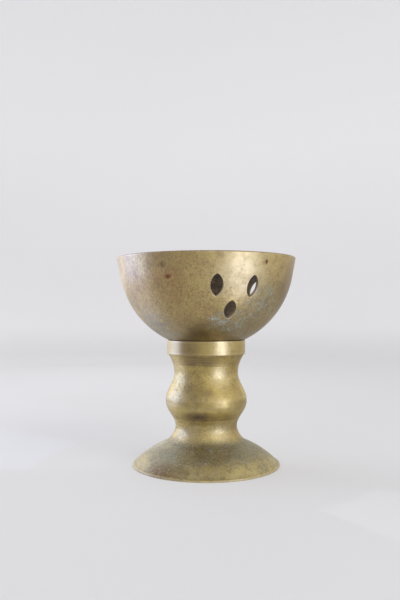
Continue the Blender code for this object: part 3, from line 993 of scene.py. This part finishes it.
def foot_patina(g, colour):
    """The dome's dull film, with grey-green haze, darker and paler specks, crust, a painted highlight
    near the lip, and a reddish-brown patch at the front left.
    """
    dome = g.step(g.height, 15.5, 11.5)
    patina = g.times(dome, g.step(g.cloud, 0.34, 0.58, 0.35, 1), g.step(g.height, 3.0, 8.5, 0.12, 1))
    colour = g.lay(colour, PATINA, patina, 0.68)
    veil = g.most(g.times(g.spot(-45, 29, 8, 19, 0.9), 0.9), g.times(dome, 0.25))
    haze = g.times(dome, g.most(veil, g.step(g.noise(4, 5, 0.7, 53), 0.52, 0.66)))
    haze = g.times(haze, g.step(g.fine, 0.30, 0.55, 0.4, 1))
    colour = g.lay(colour, GREY_GREEN, haze, 0.6)
    blotch = g.most(g.spot(22, 26, 10.5, 17, 0.9, 0.35), g.times(g.spot(-8, 28, 8.5, 9, 0.9, 0.6), 0.5))
    blotch = g.times(blotch, g.step(g.noise(2.6, 5, 0.65, 77), 0.36, 0.56, 0.25, 1))
    colour = g.lay(colour, BLOTCH, blotch, 0.30)
    speckle = g.step(g.noise(0.7, 3, 0.7, 81), 0.46, 0.60)
    speckle = g.times(speckle, dome, g.step(g.mottle, 0.30, 0.55, 0.2, 0.6))
    colour = g.mix(speckle, colour, SPECKLE)
    pale = g.step(g.noise(0.8, 3, 0.7, 85), 0.56, 0.66)
    pale = g.times(pale, dome, g.step(g.cloud, 0.36, 0.56, 0.2, 0.7))
    colour = g.mix(pale, colour, PALE_GREEN)
    # Painted highlight low on the dome near the lip, at the front and the front right.
    painted_lip_highlight = g.times(g.spot(-6, 34, 3.0, 16, 0.9, 0.35), 0.7)
    painted_lip_highlight = g.most(g.spot(28, 34, 3.0, 17, 0.9, 0.35), painted_lip_highlight)
    painted_lip_highlight = g.times(painted_lip_highlight, g.step(g.mottle, 0.66, 0.40, 0.3, 1))
    colour = g.lay(colour, CLEAN_AND_HIGHLIGHT, painted_lip_highlight, 0.6)
    crust = g.times(dome, g.step(g.noise(4.5, 3, 0.6, 59), 0.48, 0.60))
    crust = g.times(crust, g.step(g.noise(0.6, 3, 0.7, 63), 0.56, 0.66), 0.7)
    colour = g.mix(crust, colour, VERDIGRIS)
    # A reddish-brown patch low on the dome at the front left.
    reddish_patch = g.step(g.noise(2, 4, 0.6, 79), 0.28, 0.52, 0.2, 1)
    reddish_patch = g.times(g.spot(-37, 35, 2.0, 16, 0.9, 0.4), reddish_patch, 0.85)
    return g.mix(reddish_patch, colour, REDDISH_BROWN), patina, haze, crust


def stem_pits(g, collar):
    """Pits, round spots, and freckles on the belly's front, fewer of them all on the collar."""
    pits = g.times(g.step(g.noise(0.7, 2, 0.5, 67), 0.64, 0.72), g.step(g.cloud, 0.60, 0.42), 0.6)
    spots = g.times(g.specks(1.9, 0.17, 5), g.step(g.noise(8, 2, 0.5, 73), 0.52, 0.60), 0.7)
    freckled = g.most(g.spot(-36, 20, 38, 12, 0.8, 0.9), g.times(g.spot(-8, 19, 38, 12, 0.9), 0.6))
    freckles = g.times(g.step(g.noise(0.75, 3, 0.6, 69), 0.57, 0.66), freckled)
    return g.times(g.most(pits, spots, freckles), g.step(collar, 0, 1, 1, 0.3))


def fastener_material(name, clean, soiled, shift):
    """Machined brass that smoke and ash have dulled."""
    g = Graph(name)
    mottle = g.noise(2.4, 5, 0.6, shift)
    fine = g.noise(0.6, 4, 0.6, shift + 5)
    grain = g.noise(0.16, 2, 0.5, shift + 9)
    film = g.step(mottle, 0.36, 0.62)
    colour = g.mix(film, clean, soiled)
    colour = g.lay(colour, DARK, g.step(fine, 0.56, 0.68), 0.6)
    dust = g.times(g.step(g.noise(1.6, 4, 0.65, shift + 13), 0.55, 0.66), 0.5)
    colour = g.mix(dust, colour, ASH)
    metallic = g.math("SUBTRACT", 0.95, g.times(dust, 0.9))
    roughness = g.total((film, 0.16), (fine, 0.3))
    roughness = g.add(g.add(roughness, 0.18), g.times(dust, 0.3), True)
    height = g.total((fine, 0.3), (grain, 0.12))
    return g.finish(colour, metallic, roughness, height, FASTENER_RELIEF)


# ---- studio

STUDIO_RADIUS = 1.25
STUDIO_HEIGHT = 1.1
STUDIO_BEND = 0.5
LAMP_AIM = 0.05
LAMP_WARM = (1.0, 0.98, 0.95)
LAMP_COOL = (0.97, 0.98, 1.0)
AIR_COLOUR = (0.98, 0.985, 1.0)
AIR_GLOW = 0.45
PAINT_WALL = (0.60, 0.595, 0.60), (0.63, 0.625, 0.63)
PAINT_FLOOR = (0.46, 0.46, 0.46), (0.48, 0.48, 0.48)
PAINT_TOP = (0.68, 0.675, 0.68)
PAINT_GLOW = 0.30


def studio():
    """A round pale floor that bends up into a wall, so that no view shows a horizon."""
    flat = STUDIO_RADIUS - STUDIO_BEND
    outline = [(0.004, 0.0)]
    outline += [(flat * i / 12, 0.0) for i in range(1, 12)]
    bend = arc((flat, STUDIO_BEND), STUDIO_BEND, -pi / 2, 0, 16)
    outline += bend + [(STUDIO_RADIUS, STUDIO_HEIGHT)]
    mesh = turned_mesh("studio", [(r, z) for r, z in reversed(outline)], 96, False)
    shape = bmesh.new()
    shape.from_mesh(mesh)
    largest = max(shape.faces, key=lambda face: len(face.verts) * face.calc_area())
    bmesh.ops.delete(shape, geom=[largest], context="FACES_ONLY")
    bmesh.ops.reverse_faces(shape, faces=shape.faces)
    shape.to_mesh(mesh)
    shape.free()
    room = add_object("studio", mesh)
    room.data.shade_smooth()
    room.data.materials.append(studio_material())


def studio_material():
    """Matt pale paint with the faintest unevenness, which gives off some light of its own."""
    g = Graph("studio_paint")
    height = g.split()[2]
    tone = g.noise(240, 3, 0.5, 1)
    wall = g.mix(tone, *PAINT_WALL)
    floor = g.mix(tone, *PAINT_FLOOR)
    colour = g.mix(g.step(height, -8, 55), floor, wall)
    colour = g.mix(g.step(height, 120, 500), colour, PAINT_TOP)
    g.put(g.shader.inputs["Emission Color"], (0.98, 0.97, 1.0))
    g.put(g.shader.inputs["Emission Strength"], PAINT_GLOW)
    return g.finish(colour, 0.0, 0.9, g.noise(6, 2, 0.5, 3), PAINT_RELIEF)


def area_lamp(name, azimuth, distance, height, size, power, colour):
    """A soft lamp that faces the object's middle. The camera and the polished surfaces don't
    see it. Degrees and metres."""
    data = bpy.data.lights.new(name, "AREA")
    data.shape = "RECTANGLE"
    data.size, data.size_y = size
    data.energy = power
    data.color = colour
    lamp = bpy.data.objects.new(name, data)
    at = Vector((distance * sin(radians(azimuth)), -distance * cos(radians(azimuth)), height))
    lamp.location = at
    lamp.rotation_euler = (Vector((0, 0, LAMP_AIM)) - at).to_track_quat("-Z", "Y").to_euler()
    lamp.visible_camera = False
    lamp.visible_glossy = False
    bpy.context.scene.collection.objects.link(lamp)


# Screens that only polished surfaces mirror. Upright ones stand round the object: start and
# end azimuth, height of foot and head, brightness, colour.
NEUTRAL = (1.0, 0.98, 0.95)
WHITE = (0.92, 0.94, 1.0)
WINDOW = (0.67, 0.71, 1.0)
SKY = (0.37, 0.46, 1.0)
COOL = (0.64, 0.69, 1.0)
HAZE = (0.86, 0.87, 0.97)
SCREEN_RADIUS = 0.62
UPRIGHT_SCREENS = [
    (-82, -14, 0.0, 0.85, 0.48, NEUTRAL),
    (-14, 30, 0.0, 0.85, 0.80, NEUTRAL),
    (30, 58, 0.0, 0.14, 4.0, WINDOW),
    (30, 58, 0.14, 0.85, 1.10, NEUTRAL),
    (58, 150, 0.0, 0.85, 0.80, NEUTRAL),
    (178, 202, 0.05, 0.60, 2.4, WHITE),
    (-150, -124, 0.0, 0.60, 1.7, HAZE),
    (-124, -82, 0.0, 0.40, 4.8, SKY),
    (-124, -82, 0.40, 0.85, 1.1, WHITE),
]
# Lying ones cover the floor: start and end azimuth, nearest and furthest, brightness, colour.
LYING_SCREENS = [
    (-82, 30, 0.05, 0.62, 0.50, NEUTRAL),
    (30, 58, 0.05, 0.085, 0.60, NEUTRAL),
    (30, 58, 0.085, 0.13, 1.5, WHITE),
    (30, 56, 0.13, 0.62, 2.55, WINDOW),
    (56, 150, 0.05, 0.62, 0.48, NEUTRAL),
    (150, 214, 0.05, 0.30, 0.55, NEUTRAL),
    (-150, -124, 0.05, 0.62, 0.95, HAZE),
    (-124, -82, 0.05, 0.085, 0.90, WHITE),
    (-124, -82, 0.085, 0.62, 1.75, COOL),
]
LYING_HEIGHT = 0.0005
CEILING_HEIGHT = 0.95
CEILING_INNER, CEILING_OUTER = 0.01, 0.9
CEILING_GLOW = 0.60
SCREEN_STEPS = 24


def screen_material(brightness, colour):
    """Black cloth that only gives off light."""
    material = bpy.data.materials.new("screen_cloth")
    material.use_nodes = True
    shader = material.node_tree.nodes["Principled BSDF"]
    shader.inputs["Base Color"].default_value = (0, 0, 0, 1)
    shader.inputs["Specular IOR Level"].default_value = 0
    shader.inputs["Emission Color"].default_value = (*colour, 1)
    shader.inputs["Emission Strength"].default_value = brightness
    return material


def screen(start, end, near, far, brightness, colour):
    """A strip of glowing cloth between two edges, each a radius and a height. No camera sees
    it, and it casts no shadow."""
    verts, faces = [], []
    for i in range(SCREEN_STEPS + 1):
        turn = radians(start + (end - start) * i / SCREEN_STEPS)
        verts += [(radius * sin(turn), -radius * cos(turn), height) for radius, height in (near, far)]
    for i in range(SCREEN_STEPS):
        faces.append((2 * i, 2 * i + 1, 2 * i + 3, 2 * i + 2))
    mesh = bpy.data.meshes.new("screen")
    mesh.from_pydata(verts, [], faces)
    mesh.materials.append(screen_material(brightness, colour))
    piece = add_object("screen", mesh)
    piece.visible_camera = False
    piece.visible_shadow = False
    piece.visible_diffuse = False


def screens():
    for start, end, foot, head, brightness, colour in UPRIGHT_SCREENS:
        screen(start, end, (SCREEN_RADIUS, foot), (SCREEN_RADIUS, head), brightness, colour)
    for start, end, nearest, furthest, brightness, colour in LYING_SCREENS:
        screen(start, end, (nearest, LYING_HEIGHT), (furthest, LYING_HEIGHT), brightness, colour)
    inner, outer = (CEILING_INNER, CEILING_HEIGHT), (CEILING_OUTER, CEILING_HEIGHT)
    screen(-180, 180, inner, outer, CEILING_GLOW, WHITE)


def lights():
    world = bpy.data.worlds.new("studio_air")
    bpy.context.scene.world = world
    world.use_nodes = True
    air = world.node_tree.nodes["Background"]
    air.inputs["Color"].default_value = (*AIR_COLOUR, 1)
    air.inputs["Strength"].default_value = AIR_GLOW
    area_lamp("window", 45, 0.70, 0.62, (0.36, 0.36), 2.0, LAMP_WARM)
    area_lamp("wall_fill", -118, 0.70, 0.62, (0.5, 0.4), 1.5, LAMP_COOL)


CAMERA_DISTANCE = 0.3209
CAMERA_HEIGHT = 0.07595
CAMERA_SIDE = -0.0031
CAMERA_PITCH = radians(1.03)
LENS = 38.35
SENSOR_WIDTH = 36.0


def camera():
    data = bpy.data.cameras.new("camera")
    data.lens = LENS
    data.sensor_width = SENSOR_WIDTH
    eye = bpy.data.objects.new("camera", data)
    eye.location = (CAMERA_SIDE, -CAMERA_DISTANCE, CAMERA_HEIGHT)
    eye.rotation_euler = (pi / 2 + CAMERA_PITCH, 0, 0)
    bpy.context.scene.collection.objects.link(eye)
    bpy.context.scene.camera = eye


# ---- assembly


def place_piece(piece, node, body, material):
    piece.data.materials.clear()
    piece.data.materials.append(material)
    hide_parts(node)
    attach(piece, body)


def main():
    bpy.context.scene.view_settings.view_transform = "Standard"
    nut_brass = fastener_material("nut_brass", YELLOW, BROWN, 3)
    stud_brass = fastener_material("stud_brass", YELLOW, OLIVE, 17)
    washer_brass = fastener_material("washer_brass", OLIVE, BROWN, 31)
    place_piece(make_pedestal(), "pedestal", "pedestal", pedestal_material())
    place_piece(make_bowl(), "bowl", "bowl", bowl_material())
    place_piece(make_stud(), "stud", "bowl", stud_brass)
    place_piece(make_washer(), "washer", "washer", washer_brass)
    place_piece(make_nut(), "lock_nut", "bowl", nut_brass)
    studio()
    screens()
    lights()
    camera()


main()
